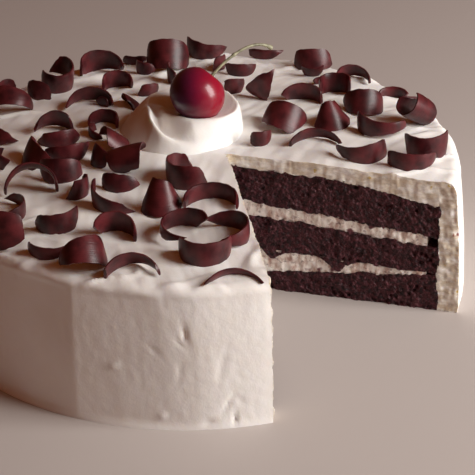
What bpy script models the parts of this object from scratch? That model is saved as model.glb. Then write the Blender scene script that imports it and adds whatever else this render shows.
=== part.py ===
"""Black forest cake with one large slice taken out, in metres, +Z up, standing on z = 0.

Three chocolate sponges with two cream fillings between them sit in a coat of whipped cream. A piped
rosette holds a cherry on its stem, and short chocolate curls lie scattered over the top. Everything
round is turned about the cake's axis, the Z axis, and one knife cut runs through all of the layers.
"""

import math

import bmesh
import bpy
from mathutils import Matrix, Vector

MM = 0.001
GAP = 0.3 * MM  # between pieces that touch

# The whole cake
STEPS = 48  # facets round the cake
COAT_RADIUS = 121 * MM  # outside of the cream coat, at the foot
COAT_HEIGHT = 67 * MM  # cream coat at the axis
COAT_FALL = 3.6 * MM  # how much lower the top is at its rim
COAT_LEAN = 2.7 * MM  # how far the side leans in at the rim
EDGE_ROUND = 5 * MM  # rounding between top and side
SPONGE_RADIUS = 112 * MM

# Heights of the layers: at the axis, how much they fall towards the edge, and how late
BOTTOM_SPONGE = 8 * MM
BOTTOM_RISE = 10 * MM  # the bottom sponge is thicker at its edge
MIDDLE_UNDER, MIDDLE_UNDER_FALL = 20.5 * MM, 2.2 * MM
MIDDLE_TOP, MIDDLE_TOP_FALL = 37.3 * MM, 6 * MM
TOP_UNDER, TOP_UNDER_FALL = 44.5 * MM, 8.6 * MM
TOP_TOP, TOP_TOP_FALL = 61 * MM, 9 * MM
FILLING_RADIUS = 106.5 * MM  # both fillings stop short of the sponges' edge
RING = 62 * MM  # where each layer's surface bends most
WAVE = 0.8 * MM  # unevenness of layers built by hand
WAVE_LENGTH = 210 * MM

# The slice taken out
SLICE_APEX = Vector((14.4 * MM, -5.9 * MM, 0))
SLICE_EDGES = (math.radians(-82.9), math.radians(-18.0))  # directions of the two cuts from the apex

# Rosette and cherry
ROSETTE_PLACE = Vector((-5 * MM, 22 * MM, 0))
ROSETTE_RADIUS = 28 * MM
ROSETTE_FOOT = 1 * MM  # thickness of the cream at its very edge
ROSETTE_MIDDLE = 7.5 * MM  # height of the cream under the cherry
ROSETTE_VALLEY, ROSETTE_DEEPEST = 0.6, 5.5 * MM  # dip between two turns: share of their distance, most
ROSETTE_LIP, ROSETTE_LIP_WIDTH = 2.4 * MM, 2.3 * MM  # the rounded edge of the last turn
ROSETTE_CREASE = 0.9 * MM  # depth of the soft crease along the front
ROSETTE_STEPS = 48
ROSETTE_RINGS = 11
# The crest of the piped cream runs round in one spiral: angle in degrees, radius and height in mm
ROSETTE_CREST = (
    (-180, 8, 10.6), (-150, 9, 10.8), (-125, 10.5, 11.3), (-97, 13, 11.8), (-80, 15.2, 11.8), (-63, 17.9, 11.7),
    (-50, 20.6, 11.6), (-36, 24, 11.5), (-20, 26, 11.5), (0, 26.5, 11.7), (30, 24.9, 12.4), (60, 20.5, 12.8),
    (90, 17.5, 13), (120, 16.3, 13.3), (150, 15.8, 13.6), (180, 15.3, 13), (211, 15.8, 11.8), (234, 20.3, 8.8),
    (247, 23.4, 6.4), (263, 24.4, 3.8), (282, 26.6, 1.6), (305, 27.3, 1), (340, 27.7, 0.4), (380, 27.8, 0),
)  # fmt: skip
CHERRY_RADIUS = 12.7 * MM
CHERRY_PLACE = Vector((2.5 * MM, 17.2 * MM, 85.5 * MM))
CHERRY_DIMPLE = 3.2 * MM
CHERRY_SQUASH = 0.93
STEM_RISE = Vector((27 * MM, 15 * MM, 28 * MM))  # how the stem leaves the cherry
STEM_BEND = Vector((2 * MM, 0, -16 * MM))  # how far its end bends away from that line
STEM_DROOP = Vector((0, 0, -4 * MM))  # how far its very end droops
STEM_THICKNESS = 1.3 * MM
STEM_STEPS = 11

# Chocolate curls: strips that rolled up as they were shaved off a block
CURL_THICKNESS = 1.3 * MM
CURL_STEPS = 9
CURL_OPENING = 0.16  # how much wider the roll is at its end than at its start
CURL_TAPER = 0.25  # how much narrower the strip is at its very ends
# Each one: place x and y, way that its outside faces, lean and tilt of its roll, radius, sweep, and the
# strip's width at its start, in its middle and at its end. A lean of 0 stands the strip on its long
# edge, 90 lays it like a boat and -90 like an arch. Then, where given, its flare (how much wider the
# roll is at one edge than at the other) and its pitch (how far the end climbs over the start).
CURLS = (
    (-63, 74, 330, 15, 12, 7.4, 300, 10, 12, 12), (-74, 65, 235, -10, 0, 9, 110, 4, 10, 8),
    (-86, 50, 265, -55, 0, 10, 190, 10, 10, 5), (-48, 53, 95, -20, 0, 11, 170, 6, 8, 3),
    (-63, 25, 95, -25, 0, 9, 150, 9, 10, 3), (-60, 10, 285, -10, 0, 9.5, 160, 4, 8, 6),
    (-88, 17, 240, -20, 0, 12, 100, 7, 8, 2), (-40, 29, 80, 0, 0, 6.5, 200, 6, 7, 5),
    (-35, 4, 20, -50, 0, 7.5, 150, 11, 13, 8), (-71, -7, 205, -25, 0, 12, 120, 9, 13, 9),
    (-55, -7, 285, -5, 0, 10, 150, 6, 9, 3, 0, 2), (-58, -24, 270, -15, 0, 9, 150, 9, 11, 8),
    (-48, -40, 330, 0, 0, 6, 180, 10, 9, 7), (-69, -33, 90, -50, 0, 11, 190, 8, 9, 6),
    (-74, -52, 5, 0, 0, 10, 160, 5, 7, 3), (-79, -79, 250, -15, 12, 12, 100, 14, 16, 12),
    (-57, -70, 275, 0, 0, 8.5, 175, 8, 10, 9, 0, 2), (-60, -88, 262, 0, 0, 8.5, 165, 5, 5.5, 2.5),
    (-45, -98, 285, -50, 0, 9, 200, 2.5, 11, 13), (-37, -54, 238, 0, 0, 10, 160, 12, 7, 5, 0, -4),
    (-32, -76, 85, -10, 0, 8, 200, 7, 10, 8, 0, 3), (-25, -103, 90, -20, 0, 11, 150, 2.5, 6, 8),
    (-29, -17, 165, -70, 0, 5.6, 250, 15, 17, 14), (-32, -37, 265, -15, 0, 9, 120, 8, 8, 4),
    (-6, -32, 200, 0, 0, 9, 250, 8, 11, 13), (-15, -55, 250, -12, 0, 6, 230, 13, 15, 10, -0.8),
    (-7, -76, 135, 0, 0, 9.5, 275, 10, 7, 3), (2, -97, 262, 0, 0, 10, 190, 10, 10.5, 9),
    (7, -52, 88, 0, 0, 11, 200, 6, 8, 6), (15, -80, 15, 0, 0, 9.5, 245, 2, 9, 4),
    (14, -111, 95, -30, 0, 13, 120, 2, 4, 4.5), (33, 51, 250, 0, 60, 12, 100, 13, 10, 2),
    (52, 50, 90, -10, 0, 10, 140, 8, 9, 6), (40, 21, 250, -50, -10, 9, 200, 5, 13, 13),
    (55, 3, 88, -20, 0, 12, 140, 3, 5.5, 5), (64, 21, 300, -15, 0, 6, 190, 12, 13, 10, -0.9),
    (60, 91, 270, -20, 0, 10, 130, 10, 11, 9), (68, 58, 90, 10, 0, 7, 220, 9, 10, 8),
    (78, 73, 90, -20, 0, 8, 190, 3, 7, 8), (79, 36, 265, -35, 0, 9, 160, 8, 12, 10),
    (102, 22, 215, 55, 0, 5.6, 335, 14, 16, 15), (84, 10, 258, 0, 0, 11, 150, 13, 7, 5),
    (73, -15, 268, 0, 0, 11, 155, 3, 8, 12), (95, -23, 275, 0, 0, 11, 140, 9, 8, 5),
    (103, -12, 278, 0, 0, 9.5, 165, 13, 11, 14), (-43, 93, 90, -10, 0, 10.5, 170, 5, 11, 13),
    (-12, 96, 265, -35, 0, 10, 190, 11, 15, 12), (8, 107, 268, 5, 0, 10, 150, 13, 9, 3),
    (-35, 72, 90, -5, 0, 7, 180, 6, 9, 9), (-100, -20, 210, 0, 0, 9, 160, 6, 9, 4),
    (-98, 32, 160, -50, 0, 9, 170, 6, 9, 5),
)  # fmt: skip


def material(name, colour, roughness):
    """A plain surface with an sRGB hex colour."""
    made = bpy.data.materials.new(name)
    made.use_nodes = True
    shader = made.node_tree.nodes["Principled BSDF"]
    channels = [int(colour[i : i + 2], 16) / 255 for i in (0, 2, 4)]
    linear = [c / 12.92 if c < 0.04045 else ((c + 0.055) / 1.055) ** 2.4 for c in channels]
    shader.inputs["Base Color"].default_value = (*linear, 1)
    shader.inputs["Roughness"].default_value = roughness
    return made


def add_object(name, bm, surface, crease=40):
    """Makes the bmesh an object, smooth except where it bends by more than the crease angle."""
    bmesh.ops.recalc_face_normals(bm, faces=bm.faces)
    mesh = bpy.data.meshes.new(name)
    bm.to_mesh(mesh)
    bm.free()
    mesh.shade_smooth()
    mesh.set_sharp_from_angle(angle=math.radians(crease))
    mesh.materials.append(surface)
    made = bpy.data.objects.new(name, mesh)
    bpy.context.scene.collection.objects.link(made)
    return made


def turned(outline, steps=STEPS):
    """A solid turned about Z from (radius, height) points that start and end on the axis."""
    bm = bmesh.new()
    points = [bm.verts.new((radius, 0, height)) for radius, height in outline]
    edges = [bm.edges.new(pair) for pair in zip(points, points[1:])]
    whole = points + edges
    bmesh.ops.spin(
        bm, geom=whole, cent=(0, 0, 0), axis=(0, 0, 1), angle=math.tau, steps=steps, use_merge=True
    )
    bmesh.ops.remove_doubles(bm, verts=bm.verts, dist=0.01 * MM)
    return bm


def fall(radius, amount, lateness=1.7):
    """How far a layer has dropped at this radius, if it drops by amount at the sponge's edge."""
    return amount * (radius / SPONGE_RADIUS) ** lateness


def bottom_sponge_top(radius):
    return BOTTOM_SPONGE + fall(radius, BOTTOM_RISE, 1.5)


def middle_sponge_under(radius):
    return MIDDLE_UNDER - fall(radius, MIDDLE_UNDER_FALL)


def middle_sponge_top(radius):
    return MIDDLE_TOP - fall(radius, MIDDLE_TOP_FALL)


def top_sponge_under(radius):
    return TOP_UNDER - fall(radius, TOP_UNDER_FALL)


def top_sponge_top(radius):
    return TOP_TOP - fall(radius, TOP_TOP_FALL, 3)


def above(height):
    """A surface that just clears the one under it."""
    return lambda radius: height(radius) + GAP


def below(height):
    """A surface that just clears the one over it."""
    return lambda radius: height(radius) - GAP


def coat_top(radius):
    return COAT_HEIGHT - COAT_FALL * (radius / COAT_RADIUS) ** 2


def wave(place):
    """Slow rise and fall of the layers, none at the foot of the cake and full above its middle."""
    turn = math.tau / WAVE_LENGTH
    swell = math.sin(turn * place.x + 0.6) * math.cos(0.8 * turn * place.y - 0.9)
    return WAVE * swell * min(1, place.z / (20 * MM))


def layer(name, radius, under, over, surface):
    """A round layer between two heights that follow the radius, with the slice cut out of it."""
    rings = sorted({0, RING, FILLING_RADIUS, radius})
    outline = [(r, over(r)) for r in rings] + [(r, under(r)) for r in reversed(rings)]
    bm = turned(outline)
    for vertex in bm.verts:
        vertex.co.z += wave(vertex.co)
    return cut(add_object(name, bm, surface))


def cut(piece):
    """Takes the slice out of a piece."""
    knife = piece.modifiers.new("slice", "BOOLEAN")
    knife.operation = "DIFFERENCE"
    knife.solver = "EXACT"
    knife.object = slice_cutter
    return piece


def make_slice_cutter():
    """The wedge that the two cuts leave, taller and longer than the cake."""
    bm = bmesh.new()
    reach = 2 * COAT_RADIUS
    corners = [SLICE_APEX] + [
        SLICE_APEX + reach * Vector((math.cos(edge), math.sin(edge), 0)) for edge in SLICE_EDGES
    ]
    base = bm.faces.new([bm.verts.new(corner - Vector((0, 0, 20 * MM))) for corner in corners])
    raised = bmesh.ops.extrude_face_region(bm, geom=[base])["geom"]
    bmesh.ops.translate(
        bm, vec=(0, 0, 140 * MM), verts=[part for part in raised if isinstance(part, bmesh.types.BMVert)]
    )
    cutter = add_object("slice_cutter", bm, chocolate)
    cutter.hide_render = True
    cutter.display_type = "WIRE"
    return cutter


def make_coat():
    """Whipped cream over the top and round the side, as one shell on the sponges."""
    edge_top = COAT_RADIUS - COAT_LEAN - EDGE_ROUND
    edge_height = coat_top(edge_top) - EDGE_ROUND
    outside = [(r, coat_top(r)) for r in (0, 40 * MM, 75 * MM, 98 * MM)]
    outside += [
        (edge_top + EDGE_ROUND * math.sin(turn), edge_height + EDGE_ROUND * math.cos(turn))
        for turn in (math.radians(a) for a in (0, 30, 60, 90))
    ]
    for height in (40 * MM, 18 * MM, 0):
        outside.append((COAT_RADIUS - COAT_LEAN * (height / edge_height) ** 2, height))
    inner = SPONGE_RADIUS + GAP
    rings = [inner, FILLING_RADIUS, RING, 0]
    inside = [(inner, 0)] + [(r, top_sponge_top(min(r, SPONGE_RADIUS)) + GAP) for r in rings]
    bm = turned(outside + inside)
    for vertex in bm.verts:
        under = vertex.co.xy.length < inner + GAP and vertex.co.z < top_sponge_top(0) + 2 * GAP
        if under:
            vertex.co.z += wave(vertex.co)
    return cut(add_object("cream_coat", bm, cream))


def crest_at(turn):
    """Radius and height of the rosette's crest where it has turned this far, in degrees."""
    for (start, near, low), (end, far, high) in zip(ROSETTE_CREST, ROSETTE_CREST[1:]):
        if start <= turn <= end:
            share = (turn - start) / (end - start)
            return (near + share * (far - near)) * MM, (low + share * (high - low)) * MM
    return None


def rosette_height(radius, angle):
    """Height of the piped cream: a bowl inside the crest, a dip between its turns, a slope outside."""
    turns = [angle + 360 * full for full in (-1, 0, 1, 2)]
    crests = [(turn, crest_at(turn)) for turn in turns if crest_at(turn)]
    turn, (inner, top) = crests[0]
    if radius <= inner:
        hollow = 0.8 + 1.6 * max(0, math.cos(math.radians(angle - 25))) ** 2  # deepest to the right
        return ROSETTE_MIDDLE + (top - ROSETTE_MIDDLE) * (radius / inner) ** hollow
    last, (outer, low) = crests[-1]
    lip = ROSETTE_LIP * max(0, min(1, (last - 188) / 12, (310 - last) / 70))
    lip *= math.exp(-(((radius - outer) / ROSETTE_LIP_WIDTH) ** 2))
    if len(crests) > 1 and radius <= outer:
        share = (radius - inner) / (outer - inner)
        grown = min(1, (turn + 180) / 40) * min(1, max(0, (285 - last) / 45))
        deepest = min(ROSETTE_VALLEY * (outer - inner), ROSETTE_DEEPEST)
        crease = ROSETTE_CREASE * max(0, min(1, (turn + 85) / 25, (5 - turn) / 25))
        crease *= math.exp(-(((share - 0.55) / 0.16) ** 2))
        dip = deepest * math.sin(math.pi * share) * grown
        return top + (low - top) * share ** (1.6 - 0.6 * grown) + lip - dip - crease
    share = min(1, (radius - outer) / max(ROSETTE_RADIUS - outer, 0.5 * MM))
    return low * (1 - share ** (1.25 if outer < 20 * MM else 1.6)) + lip


def make_rosette():
    """Piped cream whose one thick turn rises round the cherry, with a nest pressed in by the cherry."""
    rings = [ROSETTE_RADIUS * k / ROSETTE_RINGS for k in range(ROSETTE_RINGS, -1, -1)]
    bm = turned([(0, 0), (ROSETTE_RADIUS, 0)] + [(radius, ROSETTE_FOOT) for radius in rings], ROSETTE_STEPS)
    for vertex in bm.verts:
        if vertex.co.z > ROSETTE_FOOT / 2:
            angle = math.degrees(math.atan2(vertex.co.y, vertex.co.x))
            vertex.co.z = max(ROSETTE_FOOT, rosette_height(vertex.co.xy.length, angle))
        vertex.co += ROSETTE_PLACE
        vertex.co.z += coat_top(vertex.co.xy.length) + GAP
    made = add_object("rosette", bm, cream)
    press = made.modifiers.new("nest", "BOOLEAN")
    press.operation = "DIFFERENCE"
    press.solver = "EXACT"
    press.object = make_nest_cutter()
    return made


def cherry_shape(radius):
    """A sweet cherry, a little wider than tall, with a dimple where the stem goes in."""
    bm = bmesh.new()
    bmesh.ops.create_uvsphere(bm, u_segments=20, v_segments=12, radius=radius)
    for vertex in bm.verts:
        across = vertex.co.xy.length / radius
        if vertex.co.z > 0:
            vertex.co.z -= CHERRY_DIMPLE * max(0, 1 - across / 0.55) ** 1.5
        vertex.co.z *= CHERRY_SQUASH
    bm.transform(Matrix.Translation(CHERRY_PLACE) @ STEM_RISE.to_track_quat("Z", "Y").to_matrix().to_4x4())
    return bm


def make_nest_cutter():
    """The hollow that the cherry presses into the rosette."""
    cutter = add_object("nest_cutter", cherry_shape(CHERRY_RADIUS + GAP), cherry)
    cutter.hide_render = True
    cutter.display_type = "WIRE"
    return cutter


def make_stem():
    """A thin stem that rises from the dimple, arches over and ends in a small knob."""
    path = bpy.data.curves.new("cherry_stem", "CURVE")
    path.dimensions = "3D"
    path.bevel_depth = STEM_THICKNESS / 2
    path.bevel_resolution = 1
    path.use_fill_caps = True
    line = path.splines.new("POLY")
    root = CHERRY_PLACE + STEM_RISE.normalized() * (CHERRY_SQUASH * (CHERRY_RADIUS - CHERRY_DIMPLE) + 3 * GAP)
    line.points.add(STEM_STEPS)
    for step, point in enumerate(line.points):
        way = step / STEM_STEPS
        place = root + way * STEM_RISE + way**2 * STEM_BEND + way**6 * STEM_DROOP
        point.co = (*place, 1)
        point.radius = 1 + 0.5 * max(0, 6 * way - 5)
    path.materials.append(stem)
    made = bpy.data.objects.new("cherry_stem", path)
    bpy.context.scene.collection.objects.link(made)


def make_curl(name, x, y, facing, lean, tilt, radius, sweep, start, middle, end, flare=0, pitch=0):
    """One rolled strip, laid where its lowest point just clears the cream."""
    bm = bmesh.new()
    inner, outer = radius * MM - CURL_THICKNESS / 2, radius * MM + CURL_THICKNESS / 2
    turn = math.radians(sweep)
    first = Matrix.Rotation(-turn / 2, 3, "Z")
    corners = ((inner, 0), (outer, 0), (outer, 1), (inner, 1))
    section = bm.faces.new([bm.verts.new(first @ Vector((r, 0, z))) for r, z in corners])
    bmesh.ops.spin(bm, geom=[section], cent=(0, 0, 0), axis=(0, 0, 1), angle=turn, steps=CURL_STEPS)
    for vertex in bm.verts:
        way = math.atan2(vertex.co.y, vertex.co.x) / turn  # -0.5 to 0.5 along the strip
        across = vertex.co.z - 0.5
        width = middle + (end - start) * way + 2 * (start + end - 2 * middle) * way**2
        vertex.co.z = (across * width * (1 - CURL_TAPER * (2 * way) ** 4) + pitch * way) * MM
        vertex.co.xy += vertex.co.xy.normalized() * radius * MM * (CURL_OPENING * way + flare * across)
    for angle, axis in ((tilt, "X"), (lean, "Y"), (facing, "Z")):
        bm.transform(Matrix.Rotation(math.radians(angle), 4, axis))
    centre = sum((vertex.co for vertex in bm.verts), Vector()) / len(bm.verts)
    bmesh.ops.translate(bm, verts=bm.verts, vec=(x * MM - centre.x, y * MM - centre.y, 0))
    clearance = min(vertex.co.z - coat_top(vertex.co.xy.length) for vertex in bm.verts)
    bmesh.ops.translate(bm, verts=bm.verts, vec=(0, 0, GAP - clearance))
    return add_object(name, bm, chocolate)


def remove_all():
    for old in list(bpy.data.objects):
        bpy.data.objects.remove(old)


remove_all()
chocolate = material("chocolate", "3A1A18", 0.35)
sponge = material("chocolate_sponge", "33181A", 0.9)
cream = material("whipped_cream", "EBE5DC", 0.6)
cherry = material("cherry_skin", "9A1526", 0.15)
stem = material("cherry_stem", "8F8A5A", 0.6)
slice_cutter = make_slice_cutter()
layer("sponge_bottom", SPONGE_RADIUS, lambda r: 0, bottom_sponge_top, sponge)
layer("sponge_middle", SPONGE_RADIUS, middle_sponge_under, middle_sponge_top, sponge)
layer("sponge_top", SPONGE_RADIUS, top_sponge_under, top_sponge_top, sponge)
layer("filling_lower", FILLING_RADIUS, above(bottom_sponge_top), below(middle_sponge_under), cream)
layer("filling_upper", FILLING_RADIUS, above(middle_sponge_top), below(top_sponge_under), cream)
make_coat()
make_rosette()
add_object("cherry", cherry_shape(CHERRY_RADIUS), cherry)
make_stem()
for number, curl in enumerate(CURLS, 1):
    make_curl(f"curl_{number:02}", *curl)
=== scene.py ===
"""Black forest cake with one large slice taken out: the look of its cream, sponge, cherry and chocolate.

Shapes are worked out in millimetres and become metres when a piece is added. +Z is up, the cake stands
on z = 0 and its middle is on the Z axis.
"""

import math

import bmesh
import bpy
from mathutils import Matrix, Vector, noise


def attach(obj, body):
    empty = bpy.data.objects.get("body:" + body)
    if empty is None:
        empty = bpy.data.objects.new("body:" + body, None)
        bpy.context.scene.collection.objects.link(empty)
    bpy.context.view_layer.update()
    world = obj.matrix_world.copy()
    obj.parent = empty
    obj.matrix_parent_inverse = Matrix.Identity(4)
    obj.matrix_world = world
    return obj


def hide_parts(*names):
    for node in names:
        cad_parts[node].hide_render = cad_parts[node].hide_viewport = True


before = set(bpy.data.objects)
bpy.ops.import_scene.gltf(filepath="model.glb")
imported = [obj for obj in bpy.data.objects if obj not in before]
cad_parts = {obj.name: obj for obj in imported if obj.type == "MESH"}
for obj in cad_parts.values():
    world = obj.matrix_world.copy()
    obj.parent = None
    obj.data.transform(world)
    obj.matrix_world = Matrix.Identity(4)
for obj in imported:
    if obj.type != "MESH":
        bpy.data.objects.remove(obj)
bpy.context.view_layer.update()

MM = 0.001

# The whole cake
COAT_RADIUS = 121.0  # outside of the cream coat, at the foot
COAT_HEIGHT = 67.0  # cream coat at the axis
COAT_FALL = 3.6  # how much lower the top is at its rim
COAT_LEAN = 2.7  # how far the side leans in at the rim
EDGE_ROUND = 5.0  # rounding between top and side
SPONGE_RADIUS = 112.0
FILLING_RADIUS = 106.5
COAT_STEPS = 640  # round the coat, about 1.2 mm each at the side
TOP_RINGS, EDGE_RINGS, SIDE_RINGS = 78, 8, 45  # down the coat: on the top, round its edge, on the side
LAYER_STEPS = 96
LAYER_RINGS = (0, 30, 62, 85, FILLING_RADIUS, SPONGE_RADIUS)
SHELL_GAP = 0.3  # how far the inside of the coat reaches into the sponge, so that no gap shows
SWEEP_CENTRE = Vector((150, -60))  # the strokes over the top run round this point beside the cake
FOLDS_START, FOLDS_FULL = 78, 94  # radius where the folds near the rim begin, and where they are full

# Heights of the layers: at the axis, and how much they fall, or the lowest one rises, towards the edge
BOTTOM_SPONGE, BOTTOM_RISE = 8.0, 10.0
MIDDLE_UNDER, MIDDLE_UNDER_FALL = 20.5, 2.2
MIDDLE_TOP, MIDDLE_TOP_FALL = 37.3, 6.0
TOP_UNDER, TOP_UNDER_FALL = 44.5, 8.6
TOP_TOP, TOP_TOP_FALL = 61.0, 9.0
WAVE, WAVE_LENGTH, WAVE_FULL = 0.8, 210.0, 20  # slow wave of the layers: height, length, full from here up
# Where a boundary between two layers, counted from the foot, strays: mm from the apex along the
# right-hand cut, how far it reaches to both sides, and how much it rises
STRAYS = ((5, 5, 4, 2.2), (2, 51, 4.5, -6), (2, 21, 4, -4), (1, 62, 5, 1), (3, 30, 8, 0.8), (4, 72, 6, -0.8))

# Marks left in the side: azimuth in degrees, height, half length, half width, lean in degrees, depth
NICKS = (
    (-92.8, 44, 4.2, 0.7, -10, 1.0), (-93.6, 40, 2.6, 0.5, -45, 0.6), (-99, 36.5, 4, 0.7, -50, 0.5),
    (-85.2, 11, 5, 0.7, 30, 0.7), (-83.9, 3.5, 4.5, 0.7, 8, 0.8), (-82.8, 13, 3, 0.6, -40, 0.4),
    (-97.8, 6, 1.6, 1, 60, -0.9), (-107, 27.5, 2, 1, 60, -0.8), (-89, 3, 2.5, 1, 70, 1),
    (-94, 27, 5, 0.8, 12, 0.3), (-86, 30, 7, 1.2, 15, 0.35), (-117, 40, 5, 1.2, -20, 0.5),
    (-60, 30, 4, 0.9, 20, 0.8), (40, 26, 5, 1, -20, 0.9), (78, 40, 4, 0.8, 35, 0.9),
    (120, 20, 5, 0.9, -30, 1), (165, 44, 4, 0.8, 10, 0.9), (-150, 18, 5, 0.9, 30, 0.9),
)  # fmt: skip
RIDGE_WAY, RIDGE_REACH = math.radians(-115), math.radians(30)  # an upright ridge between two wide strokes
RIDGE_DEPTH = 9.0
BULGE, BULGE_WAY = 2.0, math.radians(12)  # how far the coat swells at its foot, and where most

# The slice taken out
SLICE_APEX = Vector((14.4, -5.9, 0))
SLICE_EDGES = (math.radians(-82.9), math.radians(-18.0))
KNIFE_REACH, KNIFE_LOW, KNIFE_HIGH = 132, -6, 74  # how far the knife reaches out, down and up
CUT_SPACING = 0.6  # between the points of a cut face
ON_CUT = 0.002  # how near a point is to a knife cut that it lies on

# Rosette and cherry
ROSETTE_PLACE = Vector((-5, 22, 0))
ROSETTE_RADIUS = 28.0
ROSETTE_MIDDLE = 7.5  # height of the cream under the cherry
ROSETTE_VALLEY = (0.6, 5.5)  # the dip between two turns, for each mm between them, and at most
ROSETTE_LIP, ROSETTE_LIP_WIDTH = 2.4, 2.3  # how far the crest of the last turn stands proud
ROSETTE_CREASE = 0.9  # depth of the soft crease along the front
ROSETTE_HOLLOW = 0.8  # how hollow the bowl inside the crest is
ROSETTE_DEEPER, ROSETTE_DEEPER_WAY = 1.6, 25  # how much more hollow, and in which direction, in degrees
ROSETTE_SLOPES = (1.25, 1.6)  # how the outside falls, below the upper turn and below the lower one
ROSETTE_UPPER = 20  # a crest within this radius is the upper turn
ROSETTE_CREASE_AT, ROSETTE_CREASE_WIDTH = 0.55, 0.16  # as shares of the way between two turns
# How far the crest has turned, in degrees, where each form begins and is full, and where gone and full
VALLEY_GROWS, VALLEY_FADES = (-180, -140), (285, 240)
CREASE_GROWS, CREASE_FADES = (-85, -60), (5, -20)
LIP_GROWS, LIP_FADES = (188, 200), (310, 240)
ROSETTE_FOOT = -1.5  # how far the cream reaches down into the coat
ROSETTE_RINGS, ROSETTE_STEPS = 46, 192
# The crest of the piped cream runs round in one spiral: angle in degrees, radius and height
ROSETTE_CREST = (
    (-180, 8, 10.6), (-150, 9, 10.8), (-125, 10.5, 11.3), (-97, 13, 11.8), (-80, 15.2, 11.8),
    (-63, 17.9, 11.7), (-50, 20.6, 11.6), (-36, 24, 11.5), (-20, 26, 11.5), (0, 26.5, 11.7),
    (30, 24.9, 12.4), (60, 20.5, 12.8), (90, 17.5, 13), (120, 16.3, 13.3), (150, 15.8, 13.6),
    (180, 15.3, 13), (211, 15.8, 11.8), (234, 20.3, 8.8), (247, 23.4, 6.4), (263, 24.4, 3.8),
    (282, 26.6, 1.6), (305, 27.3, 1), (340, 27.7, 0.4), (380, 27.8, 0),
)  # fmt: skip
CHERRY_RADIUS = 12.7
CHERRY_PLACE = Vector((2.5, 17.2, 85.5))
CHERRY_DIMPLE, CHERRY_DIMPLE_REACH = 3.2, 0.55  # its depth, and its radius as a share of the cherry's
CHERRY_SQUASH = 0.93  # height against width
NEST_GAP = 0.05  # between the cherry and the cream that it sits in
STEM_RISE = Vector((27, 15, 28))  # how the stem leaves the cherry
STEM_BEND = Vector((2, 0, -16))  # how far its end bends away from that line
STEM_DROOP = Vector((0, 0, -4))  # how far its very end droops
STEM_THICKNESS = 1.3
STEM_END, STEM_JOINT, STEM_ROOT = 0.7, 0.45, 0.5  # how much thicker the stem is there, as shares
STEM_JOINT_AT, STEM_JOINT_WIDTH = 0.42, 0.02  # as shares of the way along the stem
STEM_STEPS, STEM_SIDES = 60, 12

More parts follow.
